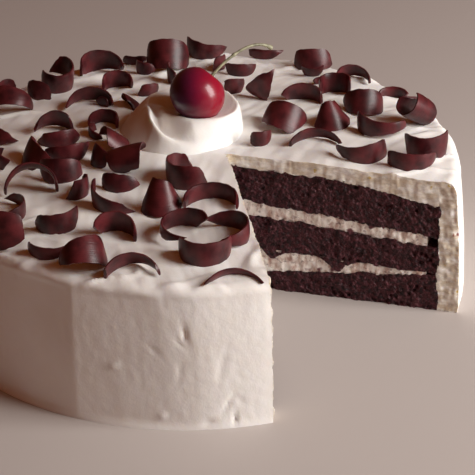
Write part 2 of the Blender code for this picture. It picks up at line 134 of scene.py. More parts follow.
# Chocolate curls, as the frame's solids have them: place x and y, way that the outside faces, lean and
# tilt, radius, sweep, width at the start, in the middle and at the end, then flare and pitch if any
CURL_THICKNESS = 1.3
CURL_OPENING = 0.16
CURL_TAPER = 0.25
CURL_CORNER = 0.5  # share of the sweep by which one corner of an end falls back at most
CURL_TORN, CURL_RAGGED = 0.35, 0.6  # how far the long edges and the ends are torn
CURL_ROWS = 6  # across the strip
CURL_STEPS, SHAVING_STEPS = 26, 16  # along the strip
CURL_SINK = 0.7  # how deep a curl settles in the cream
CURLS = (
    (-63, 74, 330, 15, 12, 7.4, 300, 10, 12, 12), (-74, 65, 235, -10, 0, 9, 110, 4, 10, 8),
    (-86, 50, 265, -55, 0, 10, 190, 10, 10, 5), (-48, 53, 95, -20, 0, 11, 170, 6, 8, 3),
    (-63, 25, 95, -25, 0, 9, 150, 9, 10, 3), (-60, 10, 285, -10, 0, 9.5, 160, 4, 8, 6),
    (-88, 17, 240, -20, 0, 12, 100, 7, 8, 2), (-40, 29, 80, 0, 0, 6.5, 200, 6, 7, 5),
    (-35, 4, 20, -50, 0, 7.5, 150, 11, 13, 8), (-71, -7, 205, -25, 0, 12, 120, 9, 13, 9),
    (-55, -7, 285, -5, 0, 10, 150, 6, 9, 3, 0, 2), (-58, -24, 270, -15, 0, 9, 150, 9, 11, 8),
    (-48, -40, 330, 0, 0, 6, 180, 10, 9, 7), (-69, -33, 90, -50, 0, 11, 190, 8, 9, 6),
    (-74, -52, 5, 0, 0, 10, 160, 5, 7, 3), (-79, -79, 250, -15, 12, 12, 100, 14, 16, 12),
    (-57, -70, 275, 0, 0, 8.5, 175, 8, 10, 9, 0, 2), (-60, -88, 262, 0, 0, 8.5, 165, 5, 5.5, 2.5),
    (-45, -98, 285, -50, 0, 9, 200, 2.5, 11, 13), (-37, -54, 238, 0, 0, 10, 160, 12, 7, 5, 0, -4),
    (-32, -76, 85, -10, 0, 8, 200, 7, 10, 8, 0, 3), (-25, -103, 90, -20, 0, 11, 150, 2.5, 6, 8),
    (-29, -17, 165, -70, 0, 5.6, 250, 15, 17, 14), (-32, -37, 265, -15, 0, 9, 120, 8, 8, 4),
    (-6, -32, 200, 0, 0, 9, 250, 8, 11, 13), (-15, -55, 250, -12, 0, 6, 230, 13, 15, 10, -0.8),
    (-7, -76, 135, 0, 0, 9.5, 275, 10, 7, 3), (2, -97, 262, 0, 0, 10, 190, 10, 10.5, 9),
    (7, -52, 88, 0, 0, 11, 200, 6, 8, 6), (15, -80, 15, 0, 0, 9.5, 245, 2, 9, 4),
    (14, -111, 95, -30, 0, 13, 120, 2, 4, 4.5), (33, 51, 250, 0, 60, 12, 100, 13, 10, 2),
    (52, 50, 90, -10, 0, 10, 140, 8, 9, 6), (40, 21, 250, -50, -10, 9, 200, 5, 13, 13),
    (55, 3, 88, -20, 0, 12, 140, 3, 5.5, 5), (64, 21, 300, -15, 0, 6, 190, 12, 13, 10, -0.9),
    (60, 91, 270, -20, 0, 10, 130, 10, 11, 9), (68, 58, 90, 10, 0, 7, 220, 9, 10, 8),
    (78, 73, 90, -20, 0, 8, 190, 3, 7, 8), (79, 36, 265, -35, 0, 9, 160, 8, 12, 10),
    (102, 22, 215, 55, 0, 5.6, 335, 14, 16, 15), (84, 10, 258, 0, 0, 11, 150, 13, 7, 5),
    (73, -15, 268, 0, 0, 11, 155, 3, 8, 12), (95, -23, 275, 0, 0, 11, 140, 9, 8, 5),
    (103, -12, 278, 0, 0, 9.5, 165, 13, 11, 14), (-43, 93, 90, -10, 0, 10.5, 170, 5, 11, 13),
    (-12, 96, 265, -35, 0, 10, 190, 11, 15, 12), (8, 107, 268, 5, 0, 10, 150, 13, 9, 3),
    (-35, 72, 90, -5, 0, 7, 180, 6, 9, 9), (-100, -20, 210, 0, 0, 9, 160, 6, 9, 4),
    (-98, 32, 160, -50, 0, 9, 170, 6, 9, 5),
)  # fmt: skip
# Smaller shavings between them, with the same values
SHAVINGS = (
    (-42, 51, 70, 0, 0, 5, 80, 4, 5, 3), (-45, 17, 200, 0, 0, 6, 150, 5, 5, 3),
    (-80, 62, 90, 0, 0, 4, 100, 3, 4, 3), (-28, 105, 270, 0, 0, 6, 150, 4, 5, 3),
    (-23, 90, 250, 0, 0, 5, 140, 7, 7, 4), (-20, 61, 300, 0, 0, 6, 120, 6, 7, 4),
    (-29, 49, 20, -50, 0, 7, 120, 4, 9, 5), (-10, 76, 200, 0, 0, 7, 90, 11, 10, 7),
    (15, 92, 330, 0, 0, 6, 120, 8, 8, 4), (31, 3, 300, 0, 0, 5, 160, 7, 7, 4),
    (59, 80, 270, 30, 0, 6, 120, 5, 7, 5), (62, 70, 90, 0, 0, 4, 100, 3, 4, 3),
    (37.5, 108, 270, 0, 0, 12, 90, 4, 5, 2), (24, 83, 270, 0, 0, 8, 130, 6, 7, 4),
    (21, 61, 300, 0, 0, 6, 120, 8, 8, 4), (95, 53, 90, 0, 0, 8, 130, 4, 6, 4),
    (-85, -8, 200, 0, 0, 7, 140, 5, 8, 5), (-110, 8, 120, -40, 0, 7, 130, 5, 8, 4),
    (-104, -42, 250, 0, 0, 6, 160, 5, 6, 3), (-90, 74, 150, 0, 0, 7, 130, 6, 7, 4),
    (-106, 50, 20, -30, 0, 6, 130, 6, 7, 5), (-42, -12, 215, -20, 0, 8, 100, 9, 10, 8),
)  # fmt: skip

# Light and camera, in metres, watts and degrees
LAMPS = (  # name, place, size, power, colour
    ("window", (0.95, -0.39, 0.52), (0.5, 0.9), 19.2, "FFFDFA"),
    ("front", (0.8, -0.85, 0.9), (0.8, 0.8), 0.8, "FFEEDC"),
)
LAMPS_AIM = Vector((0, 0, 0.05))
CAMERA_PLACE = (0, -0.6800, 0.3975)
CAMERA_YAW, CAMERA_PITCH, CAMERA_ROLL = 1.5759, 28.9763, 1.2197
CAMERA_LENS, CAMERA_SENSOR = 128.57, 36  # mm


# ---------------------------------------------------------------- materials


def hex_colour(code):
    """An sRGB hex colour as the linear colour that the shader takes."""
    channels = [int(code[i : i + 2], 16) / 255 for i in (0, 2, 4)]
    linear = [c / 12.92 if c < 0.04045 else ((c + 0.055) / 1.055) ** 2.4 for c in channels]
    return (*linear, 1)


def set_inputs(tree, node, **inputs):
    """Sets or links each input, named with _ for a space; a node given is linked by its first output."""
    for name, value in inputs.items():
        socket = node.inputs[int(name[1:])] if name[1:].isdigit() else node.inputs[name.replace("_", " ")]
        if isinstance(value, bpy.types.Node):
            value = value.outputs[0]
        if isinstance(value, bpy.types.NodeSocket):
            tree.links.new(value, socket)
        else:
            socket.default_value = value


def add_node(tree, kind, settings=None, **inputs):
    """Adds a node with its settings and inputs; the setting stops gives two (position, colour) pairs."""
    made = tree.nodes.new("ShaderNode" + kind)
    for setting, value in (settings or {}).items():
        if setting == "stops":
            for element, (position, code) in zip(made.color_ramp.elements, value):
                element.position, element.color = position, hex_colour(code)
        else:
            setattr(made, setting, value)
    set_inputs(tree, made, **inputs)
    return made


def start_material(name):
    """A new material with its tree, its shader and the place on the object in millimetres."""
    made = bpy.data.materials.new(name)
    made.use_nodes = True
    tree = made.node_tree
    shader = tree.nodes["Principled BSDF"]
    place = add_node(tree, "TexCoord").outputs["Object"]
    in_mm = add_node(tree, "Mapping", Vector=place, Scale=(1 / MM,) * 3).outputs["Vector"]
    return made, tree, shader, in_mm


def mingled(tree, place, size, stops, detail=3.0, roughness=0.5):
    """Two tones that mingle in patches about this size in mm, or a size along each axis."""
    sizes = size if isinstance(size, tuple) else (size,) * 3
    scaled = add_node(tree, "Mapping", Vector=place, Scale=tuple(1 / length for length in sizes))
    patches = add_node(tree, "TexNoise", Vector=scaled, Scale=1.0, Detail=detail, Roughness=roughness)
    return add_node(tree, "ValToRGB", {"stops": stops}, Fac=patches)


def spotted(tree, place, under, colour, size, first, full, most="FFFFFF", detail=2.0, roughness=0.5):
    """Spots of a colour on what lies under them, about this size in mm, from their first trace to full."""
    spots = mingled(tree, place, size, ((first, "000000"), (full, most)), detail, roughness)
    return add_node(tree, "Mix", {"data_type": "RGBA"}, i0=spots, i6=under, i7=hex_colour(colour)).outputs[2]


def whipped_cream():
    """Whipped cream smoothed with a palette knife: satin and milky, lumpy and a little stained where cut."""
    made, tree, shader, place = start_material("whipped_cream")
    smoothed = mingled(tree, place, 28, ((0.35, "EFEBE6"), (0.65, "F6F4F1")))
    bands = mingled(tree, place, (9, 9, 3.2), ((0.38, "FCF8F2"), (0.6, "E0D2BC")), 4.0, 0.65)
    streaks = mingled(tree, place, (2.2, 2.2, 1.5), ((0.34, "8E8E8E"), (0.56, "FFFFFF")), 4.0, 0.65)
    shaded = {"data_type": "RGBA", "blend_type": "MULTIPLY"}
    dragged = add_node(tree, "Mix", shaded, i0=0.3, i6=bands, i7=streaks).outputs[2]
    buttery = spotted(tree, place, dragged, "D2B96A", 3.6, 0.68, 0.74)
    stained = spotted(tree, place, buttery, "8E5348", (4, 4, 5.3), 0.69, 0.76)  # cherry juice
    on_cut = add_node(tree, "Attribute", {"attribute_name": "knife_cut"}).outputs["Fac"]
    tone = add_node(tree, "Mix", {"data_type": "RGBA"}, i0=on_cut, i6=smoothed, i7=stained).outputs[2]
    # The froth is drawn coarser than it is, so that it shows
    froth = add_node(tree, "TexNoise", Vector=place, Scale=1 / 1.1, Detail=4.0, Roughness=0.6)
    bump = add_node(tree, "Bump", Height=froth, Strength=0.3, Distance=0.3 * MM)
    set_inputs(
        tree, shader, Base_Color=tone, Normal=bump, Roughness=0.48, IOR=1.4,
        Subsurface_Weight=0.2, Subsurface_Radius=(1, 0.8, 0.55), Subsurface_Scale=1.6 * MM,
    )  # fmt: skip
    return made


def filling_cream():
    """Whipped cream between the sponges: pinkish with cherry juice, with crumb dragged in by the knife."""
    made, tree, shader, place = start_material("filling_cream")
    tone = mingled(tree, place, (3.2, 3.2, 6), ((0.34, "BE9C8E"), (0.54, "FCF6EE")), 4.0, 0.6)
    crumbed = spotted(tree, place, tone, "5A3232", (3, 3, 2.2), 0.56, 0.7, "E0E0E0", 3.0, 0.65)
    stained = spotted(tree, place, crumbed, "6E3A40", 8, 0.66, 0.72)  # cherry juice
    pulled = add_node(tree, "TexNoise", Vector=place, Scale=1 / 1.3, Detail=4.0, Roughness=0.6)
    bump = add_node(tree, "Bump", Height=pulled, Strength=0.5, Distance=0.4 * MM)
    set_inputs(
        tree, shader, Base_Color=stained, Normal=bump, Roughness=0.45,
        Subsurface_Weight=0.15, Subsurface_Radius=(1, 0.7, 0.5), Subsurface_Scale=1.2 * MM,
    )  # fmt: skip
    return made


def chocolate_sponge():
    """Moist cocoa sponge: purple-brown on its torn crumb, painted shade nearly black in its pores, small pale
    spots of painted glints.
    """
    made, tree, shader, place = start_material("chocolate_sponge")
    torn = add_node(tree, "TexNoise", Vector=place, Scale=1 / 2.0, Detail=5.0, Roughness=0.7)
    # Tone from the same noise as the bump: painted shade, nearly black in the low places, purple-brown on the
    # high crumb.
    crumb = add_node(tree, "ValToRGB", {"stops": ((0.38, "1A080D"), (0.64, "5C2B33"))}, Fac=torn)
    # Small pale spots: painted glints.
    painted_glints = spotted(tree, place, crumb, "8A5A60", 1.3, 0.66, 0.76)
    pores = add_node(tree, "TexVoronoi", Vector=place, Scale=1 / 1.4).outputs["Distance"]
    depth = add_node(tree, "Math", {"operation": "ADD"}, i0=torn, i1=pores)
    bump = add_node(tree, "Bump", Height=depth, Strength=0.8, Distance=0.9 * MM)
    set_inputs(tree, shader, Base_Color=painted_glints, Normal=bump, Roughness=0.55, IOR=1.4)
    return made


def cherry_skin():
    """Taut skin of a well ripened sweet cherry: wine red, painted darker and bluer on its left as painted
    shade and a painted reflection, with a wet shine.
    """
    made, tree, shader, place = start_material("cherry_skin")
    centred = add_node(tree, "Mapping", Vector=place, Location=tuple(-CHERRY_PLACE))
    across = add_node(tree, "SeparateXYZ", Vector=centred).outputs["X"]
    # Painted shade and a painted reflection: the skin is darker and bluer towards its left.
    side = add_node(tree, "MapRange", Value=across, From_Min=-9.0, From_Max=8.0)
    mottle = add_node(tree, "TexNoise", Vector=place, Scale=1 / 7, Detail=4.0, Roughness=0.55)
    # The painted shade across the cherry, mixed with the skin's own mottling.
    shade_and_mottle = add_node(tree, "Mix", {"data_type": "FLOAT"}, i0=0.3, i2=side, i3=mottle)
    tone = add_node(tree, "ValToRGB", {"stops": ((0.2, "481838"), (0.8, "8A0E26"))}, Fac=shade_and_mottle)
    dimples = add_node(tree, "TexNoise", Vector=place, Scale=1 / 2.5, Detail=2.0)
    bump = add_node(tree, "Bump", Height=dimples, Strength=0.12, Distance=0.3 * MM)
    set_inputs(
        tree, shader, Base_Color=tone, Normal=bump, Roughness=0.3, IOR=1.4,
        Subsurface_Weight=0.12, Subsurface_Radius=(1, 0.25, 0.2), Subsurface_Scale=3 * MM,
        Coat_Weight=0.25, Coat_Roughness=0.12,
    )  # fmt: skip
    return made


def cherry_stem():
    """Dried stem: dull green, streaked with grey-brown."""
    made, tree, shader, place = start_material("cherry_stem")
    streaks = add_node(tree, "TexNoise", Vector=place, Scale=1 / 3, Detail=4.0, Roughness=0.6)
    tone = add_node(tree, "ValToRGB", {"stops": ((0.35, "5E5A44"), (0.65, "A5A284"))}, Fac=streaks)
    bump = add_node(tree, "Bump", Height=streaks, Strength=0.3, Distance=0.2 * MM)
    set_inputs(tree, shader, Base_Color=tone, Normal=bump, Roughness=0.5)
    return made


def dark_chocolate():
    """Dark chocolate shaved off a block: satin, redder in patches, with fine lines along the shaving."""
    made, tree, shader, place = start_material("dark_chocolate")
    tone = mingled(tree, place, 6, ((0.35, "340F13"), (0.65, "5A2024")))
    shaving = add_node(tree, "Attribute", {"attribute_name": "shaving"}).outputs["Vector"]
    # The lines that the blade left are drawn wider apart than they are, so that they show
    drawn = add_node(tree, "Mapping", Vector=shaving, Scale=(1 / 14, 1 / 0.7, 1))
    lines = add_node(tree, "TexNoise", Vector=drawn, Scale=1.0, Detail=3.0, Roughness=0.6)
    bump = add_node(tree, "Bump", Height=lines, Strength=0.35, Distance=0.25 * MM)
    set_inputs(tree, shader, Base_Color=tone, Normal=bump, Roughness=0.36, IOR=1.42)
    return made


# ---------------------------------------------------------------- heights of the cake's surfaces


def ease(value, start, end):
    """0 before the start, 1 past the end and a straight line between them."""
    return max(0, min(1, (value - start) / (end - start)))


def fall(radius, amount, lateness=1.7):
    """How far a layer has dropped at this radius if it drops by amount at the edge, most of it far out."""
    return amount * (radius / SPONGE_RADIUS) ** lateness


def bottom_sponge_top(radius):
    return BOTTOM_SPONGE + fall(radius, BOTTOM_RISE, 1.5)


def middle_sponge_under(radius):
    return MIDDLE_UNDER - fall(radius, MIDDLE_UNDER_FALL)


def middle_sponge_top(radius):
    return MIDDLE_TOP - fall(radius, MIDDLE_TOP_FALL)


def top_sponge_under(radius):
    return TOP_UNDER - fall(radius, TOP_UNDER_FALL)


def top_sponge_top(radius):
    return TOP_TOP - fall(radius, TOP_TOP_FALL, 3)


def coat_top(radius):
    return COAT_HEIGHT - COAT_FALL * (radius / COAT_RADIUS) ** 2


def wave(place):
    """Slow rise and fall of the layers, none at the foot of the cake and full from WAVE_FULL up."""
    turn = math.tau / WAVE_LENGTH
    swell = math.sin(turn * place.x + 0.6) * math.cos(0.8 * turn * place.y - 0.9)
    return WAVE * swell * min(1, place.z / WAVE_FULL)


# ---------------------------------------------------------------- tools


def turned(outline, steps, part=16):
    """A bmesh turned about Z from (radius, height) points, in two stages because one long spin is slow."""
    bm = bmesh.new()
    points = [bm.verts.new((radius, 0, height)) for radius, height in outline]
    edges = [bm.edges.new(pair) for pair in zip(points, points[1:])]
    first = math.tau / part
    about = {"cent": (0, 0, 0), "axis": (0, 0, 1)}
    bmesh.ops.spin(bm, geom=points + edges, angle=first, steps=steps // part, **about)
    whole = bm.verts[:] + bm.edges[:] + bm.faces[:]
    bmesh.ops.spin(bm, geom=whole, angle=math.tau - first, steps=part - 1, use_duplicate=True, **about)
    bmesh.ops.remove_doubles(bm, verts=bm.verts, dist=0.01)
    bmesh.ops.recalc_face_normals(bm, faces=bm.faces)
    return bm


def make_knife():
    """The wedge between the two cuts, with a fine grid on both of its cut sides."""
    bm = bmesh.new()
    height = KNIFE_HIGH - KNIFE_LOW
    corners = [SLICE_APEX] + [
        SLICE_APEX + KNIFE_REACH * Vector((math.cos(edge), math.sin(edge), 0)) for edge in SLICE_EDGES
    ]
    base = bm.faces.new([bm.verts.new(corner + Vector((0, 0, KNIFE_LOW))) for corner in corners])
    raised = bmesh.ops.extrude_face_region(bm, geom=[base])["geom"]
    lifted = [part for part in raised if isinstance(part, bmesh.types.BMVert)]
    bmesh.ops.translate(bm, vec=(0, 0, height), verts=lifted)
    level = [edge for edge in bm.edges if abs(edge.verts[0].co.z - edge.verts[1].co.z) < 1]
    level = [edge for edge in level if any((v.co.xy - SLICE_APEX.xy).length < 1 for v in edge.verts)]
    bmesh.ops.subdivide_edges(bm, edges=level, cuts=int(KNIFE_REACH / CUT_SPACING), use_grid_fill=True)
    upright = [edge for edge in bm.edges if abs(edge.verts[0].co.z - edge.verts[1].co.z) > 1]
    bmesh.ops.subdivide_edges(bm, edges=upright, cuts=int(height / CUT_SPACING), use_grid_fill=True)
    bmesh.ops.recalc_face_normals(bm, faces=bm.faces)
    mesh = bpy.data.meshes.new("knife")
    bm.to_mesh(mesh)
    bm.free()
    made = bpy.data.objects.new("knife", mesh)
    bpy.context.scene.collection.objects.link(made)
    return made


def cut(bm):
    """The bmesh with the slice taken out, its cut faces as fine as the knife's grid."""
    mesh = bpy.data.meshes.new("uncut")
    bm.to_mesh(mesh)
    bm.free()
    uncut = bpy.data.objects.new("uncut", mesh)
    bpy.context.scene.collection.objects.link(uncut)
    slicing = uncut.modifiers.new("slice", "BOOLEAN")
    slicing.operation = "DIFFERENCE"
    slicing.solver = "EXACT"
    slicing.object = knife
    graph = bpy.context.evaluated_depsgraph_get()
    done = bmesh.new()
    done.from_mesh(uncut.evaluated_get(graph).to_mesh())
    bpy.data.objects.remove(uncut)
    return done


def cut_normal(place):
    """The way out of the cut that this place lies on, or None."""
    for edge, turn in zip(SLICE_EDGES, (1, -1)):
        along = Vector((math.cos(edge), math.sin(edge)))
        out = Vector((-along.y, along.x)) * turn
        across = place.xy - SLICE_APEX.xy
        if abs(across @ out) < ON_CUT and across @ along > -ON_CUT:
            return Vector((*out, 0))
    return None


def boundaries(place):
    """Heights of the boundaries between the layers here, from the foot to the top of the coat."""
    radius = min(place.xy.length, SPONGE_RADIUS)
    rise = wave(Vector((place.x, place.y, WAVE_FULL)))
    sponges = (bottom_sponge_top, middle_sponge_under, middle_sponge_top, top_sponge_under, top_sponge_top)
    return [0] + [height(radius) + rise for height in sponges] + [coat_top(place.xy.length)]


def straying(place, number, thickness):
    """How far a boundary between two layers strays from its even line here, where the cake is cut."""
    stray = 0.7 * ripple(place, (3.4, 3.4, 1000), 40 + number)
    stray += 0.9 * ripple(place, (9, 9, 1000), 50 + number)
    stray += 0.45 * ripple(place, (1.5, 1.5, 1000), 60 + number)
    if abs(cut_normal(place).x) < 0.6:  # the right-hand cut
        along = (place.xy - SLICE_APEX.xy).length
        for which, middle, reach, rise in STRAYS:
            if which == number:
                stray += rise * math.exp(-(((along - middle) / reach) ** 2))
    return stray * min(1, thickness / 6)


def cut_shift(place):
    """How far a point of a cut moves within the cut, so that all layers meet in ragged lines."""
    heights = boundaries(place)
    gaps = [high - low for low, high in zip(heights, heights[1:])]
    radius = place.xy.length
    shift = Vector()
    for number, (low, gap) in enumerate(zip(heights, gaps)):
        if low <= place.z <= low + gap:
            share = (place.z - low) / max(gap, 0.01)
            below = straying(place, number, min(gaps[number - 1], gap)) if number else 0
            above = straying(place, number + 1, min(gap, gaps[number + 1])) if number < 5 else 0
            shift.z = below * (1 - share) + above * share
    shift.z *= max(0, 1 - max(0, radius - SPONGE_RADIUS) / 5)
    near_side = max(0, 1 - abs(radius - SPONGE_RADIUS) / 8) * min(1, place.z / 3)
    ragged = 0.9 * ripple(place, 4, 70) + 0.5 * ripple(place, 1.6, 71)
    return shift + Vector((place.x, place.y, 0)).normalized() * ragged * near_side


def add_piece(name, bm, surface, node, smooth=50):
    """Turns a bmesh in mm into a piece on the cake that stands for a node of the frame, if one is named."""
    bm.transform(Matrix.Scale(MM, 4))
    mesh = bpy.data.meshes.new(name)
    bm.to_mesh(mesh)
    bm.free()
    mesh.shade_smooth()
    mesh.set_sharp_from_angle(angle=math.radians(smooth))
    mesh.materials.append(surface)
    made = bpy.data.objects.new(name, mesh)
    bpy.context.scene.collection.objects.link(made)
    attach(made, "root")
    if node:
        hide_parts(node)
    return made


def ripple(place, size, seed=0, detail=1):
    """Soft noise between about -1 and 1 with bumps of this size in mm, or a size for each axis."""
    sizes = size if isinstance(size, tuple) else (size,) * 3
    at = Vector(part / length for part, length in zip(place, sizes)) + Vector((0, 0, 17.3 * seed))
    return noise.fractal(at, 1.0, 2.0, detail) if detail > 1 else noise.noise(at)


# ---------------------------------------------------------------- cream coat


def nicks(place):
    """How deep the side is marked here, by a nick or the lump of cream beside it."""
    depth = 0
    around = math.degrees(math.atan2(place.y, place.x))
    for azimuth, height, length, width, lean, most in NICKS:
        across = math.radians((around - azimuth + 180) % 360 - 180) * COAT_RADIUS
        up = place.z - height
        if abs(across) + abs(up) < 3 * length:
            turn = math.radians(lean)
            along = up * math.cos(turn) + across * math.sin(turn)
            aside = across * math.cos(turn) - up * math.sin(turn) + 0.5 * ripple(place, 3, 9)
            depth += most * math.exp(-((along / length) ** 2) - (aside / width) ** 2)
    return depth


def side_relief(place):
    """Upright strokes of the palette knife on the side, a ridge between two of them, and the swollen foot."""
    facets = 1 - 2 * abs(ripple(place, (26, 26, 110), 1))
    broad = ripple(place, (34, 34, 60), 2)
    streaks = ripple(place, (2.6, 2.6, 30), 3)
    plaster = ripple(place, (2.2, 2.2, 3.2), 4, 2)
    swell = max(0, math.cos(math.atan2(place.y, place.x) - BULGE_WAY)) ** 8 * (1 - place.z / 75)
    past = min(1, abs(math.atan2(place.y, place.x) - RIDGE_WAY) / RIDGE_REACH)
    ridge = RIDGE_DEPTH * past * (1 - past) ** 2
    relief = 0.35 * facets - 0.35 + 0.35 * broad + 0.06 * streaks + 0.11 * plaster - ridge
    return relief - nicks(place) + BULGE * swell


def top_relief(place):
    """Sweeping strokes over the top, round a point beside the cake, with a few folds near the rim."""
    sweep = (place.xy - SWEEP_CENTRE).length
    arcs = ripple(Vector((sweep, 0.1 * place.x, 0.1 * place.y)), 5, 4, 2)
    warped = Vector((place.x + 6 * ripple(place, 24, 10), place.y + 4 * ripple(place, 15, 19), 0))
    fold = max(0, 1 - 7 * abs(ripple(warped, (34, 13, 34), 8)))
    near_rim = ease(place.xy.length, FOLDS_START, FOLDS_FULL)
    return 0.9 * ripple(place, 34, 5) + 0.34 * arcs + 0.6 * ripple(place, 13, 18, 2) + 1.1 * fold * near_rim


def make_coat():
    """The coat over the top and down the side: a closed shell, the slice cut out and its surface worked."""
    edge_top = COAT_RADIUS - COAT_LEAN - EDGE_ROUND
    edge_height = coat_top(edge_top) - EDGE_ROUND
    radii = [edge_top * k / TOP_RINGS for k in range(TOP_RINGS)]
    outside = [(radius, coat_top(radius)) for radius in radii]
    for k in range(EDGE_RINGS + 1):
        turn = math.radians(90 * k / EDGE_RINGS)
        outside.append((edge_top + EDGE_ROUND * math.sin(turn), edge_height + EDGE_ROUND * math.cos(turn)))
    for k in range(1, SIDE_RINGS + 1):
        height = edge_height * (1 - k / SIDE_RINGS)
        outside.append((COAT_RADIUS - COAT_LEAN * (height / edge_height) ** 2, height))
    inner = SPONGE_RADIUS - SHELL_GAP
    inside = [(inner, 0)]
    inside += [(radius, top_sponge_top(radius) - SHELL_GAP) for radius in (inner, *LAYER_RINGS[-2::-1])]
    bm = turned(outside + inside, COAT_STEPS)
    for vertex in bm.verts:
        if vertex.co.xy.length < inner + 0.2 and vertex.co.z < coat_top(vertex.co.xy.length) - 1:
            vertex.co.z += wave(vertex.co)
    bm = cut(bm)
    face_share = bm.verts.layers.float.new("knife_cut")
    for vertex in bm.verts:
        place = vertex.co.copy()
        radius = place.xy.length
        moved = Vector()
        if radius > inner + 1 or place.z > coat_top(radius) - 1:
            rim = (place.z - edge_height) / EDGE_ROUND if radius > edge_top - 1 else 1
            up = min(1, max(0, rim))
            outward = Vector((place.x, place.y, 0)) / max(radius, 1)
            foot = min(1, place.z / 3)
            moved += outward * side_relief(place) * (1 - up) * foot
            moved.z += (top_relief(place) - 0.2) * up
            moved += (0.5 * ripple(place, 11, 6)) * (outward + Vector((0, 0, 1))) * 4 * up * (1 - up)
        out = cut_normal(place)
        if out:
            vertex[face_share] = 1
            lumps = 0.9 if radius > SPONGE_RADIUS - 1 else 0.45  # coarser in the thick cream of the side
            moved += out * (lumps * ripple(place, 4.5, 7, 3) + 0.2 * ripple(place, (1.5, 1.5, 9), 27) + 0.2)
            moved += cut_shift(place) if moved.z == 0 or radius < edge_top else Vector()
        vertex.co = place + moved
    add_piece("cream_coat_smoothed", bm, cream, "cream_coat")


# ---------------------------------------------------------------- sponges and fillings


def crumb_relief(place):
    """Torn crumb on a cut: lumps, open pores and grain, in mm out of the cut."""
    near, _ = noise.voronoi(place / 2.6)
    pore = max(0, 1 - near[0] / 0.5) * max(0, 0.7 + 1.6 * ripple(place, 8, 11))
    lumps, _ = noise.voronoi(place / 1.9 + Vector((9, 4, 2)))
    rough = 0.7 * ripple(place, 6, 12) + 0.5 * (1 - 2 * lumps[0]) + 0.3 * ripple(place, 1.5, 13)
    return rough - 1.5 * pore + 0.2


def cream_relief(place):
    """Cream that the knife has pulled about."""
    return 0.5 * ripple(place, 4.2, 14, 2) + 0.4 * ripple(place, (1.6, 1.6, 5), 15) - 0.2


def make_layer(name, node, radius, under, over, relief, surface, spread):
    """A round layer with the slice cut out, its cut faces and their edges made uneven."""
    rings = [ring for ring in LAYER_RINGS if ring <= radius]
    outline = [(r, over(r)) for r in rings] + [(r, under(r)) for r in reversed(rings)]
    bm = turned(outline, LAYER_STEPS)
    for vertex in bm.verts:
        vertex.co.z += wave(vertex.co)
    bm = cut(bm)
    for vertex in bm.verts:
        place = vertex.co.copy()
        out = cut_normal(place)
        if not out:
            continue
        ring = place.xy.length
        bottom, top = under(ring), over(ring)
        share = min(1, max(0, (place.z - wave(place) - bottom) / max(top - bottom, 0.1)))
        vertex.co += out * relief(place) + cut_shift(place)
        if place.z > 1:
            vertex.co.z += (2 * share - 1) ** 3 * spread
    add_piece(name, bm, surface, node)


# ---------------------------------------------------------------- rosette, cherry and stem


def crest_at(turn):
    """Radius and height of the rosette's crest where it has turned this far, in degrees."""
    for (start, near, low), (end, far, high) in zip(ROSETTE_CREST, ROSETTE_CREST[1:]):
        if start <= turn <= end:
            share = (turn - start) / (end - start)
            return near + share * (far - near), low + share * (high - low)
    return None


def rosette_height(radius, angle):
    """Height of the piped cream: a bowl inside the crest, a dip between its turns, a slope outside."""
    turns = [angle + 360 * round_ for round_ in (-1, 0, 1, 2)]
    crests = [(turn, crest_at(turn)) for turn in turns if crest_at(turn)]
    turn, (inner, top) = crests[0]
    if radius <= inner:
        facing = max(0, math.cos(math.radians(angle - ROSETTE_DEEPER_WAY)))
        hollow = ROSETTE_HOLLOW + ROSETTE_DEEPER * facing**2
        return ROSETTE_MIDDLE + (top - ROSETTE_MIDDLE) * (radius / inner) ** hollow
    last, (outer, low) = crests[-1]
    lip = ROSETTE_LIP * min(ease(last, *LIP_GROWS), ease(last, *LIP_FADES))
    lip *= math.exp(-(((radius - outer) / ROSETTE_LIP_WIDTH) ** 2))
    if len(crests) > 1 and radius <= outer:
        share = (radius - inner) / (outer - inner)
        grown = ease(turn, *VALLEY_GROWS) * ease(last, *VALLEY_FADES)
        deepest = min(ROSETTE_VALLEY[0] * (outer - inner), ROSETTE_VALLEY[1])
        crease = ROSETTE_CREASE * min(ease(turn, *CREASE_GROWS), ease(turn, *CREASE_FADES))
        crease *= math.exp(-(((share - ROSETTE_CREASE_AT) / ROSETTE_CREASE_WIDTH) ** 2))
        dip = deepest * math.sin(math.pi * share) * grown
        return top + (low - top) * share ** (1.6 - 0.6 * grown) + lip - dip - crease
    share = min(1, (radius - outer) / max(ROSETTE_RADIUS - outer, 0.5))
    return low * (1 - share ** ROSETTE_SLOPES[outer >= ROSETTE_UPPER]) + lip


def make_rosette():
    """Piped cream: one thick turn that rises round the cherry, its crest running round in a spiral."""
    outline = [(0, ROSETTE_FOOT), (ROSETTE_RADIUS, ROSETTE_FOOT)]
    outline += [(ROSETTE_RADIUS * k / ROSETTE_RINGS, 0) for k in range(ROSETTE_RINGS, -1, -1)]
    bm = turned(outline, ROSETTE_STEPS)
    for vertex in bm.verts:
        radius = vertex.co.xy.length
        if vertex.co.z > ROSETTE_FOOT / 2:
            angle = math.degrees(math.atan2(vertex.co.y, vertex.co.x))
            vertex.co.z = rosette_height(radius, angle)
            streak = ripple(Vector((radius - angle / 9, 0.03 * angle * radius / 25, 0)), 1.7, 20)
            vertex.co.z += 0.12 * streak * min(1, vertex.co.z / 4)
    top = [vertex for vertex in bm.verts if vertex.co.z > 0.05]
    for _ in range(2):
        bmesh.ops.smooth_vert(bm, verts=top, factor=0.5, use_axis_x=True, use_axis_y=True, use_axis_z=True)
    for vertex in bm.verts:
        vertex.co += ROSETTE_PLACE
        vertex.co.z += coat_top(vertex.co.xy.length) - 0.2
        vertex.co += Vector((1, 1, 0.7)) * 0.3 * ripple(vertex.co, 7, 21)
        away = vertex.co - CHERRY_PLACE
        if away.length < CHERRY_RADIUS + NEST_GAP:
            vertex.co = CHERRY_PLACE + away.normalized() * (CHERRY_RADIUS + NEST_GAP)
    add_piece("cream_rosette", bm, cream, "rosette", 80)


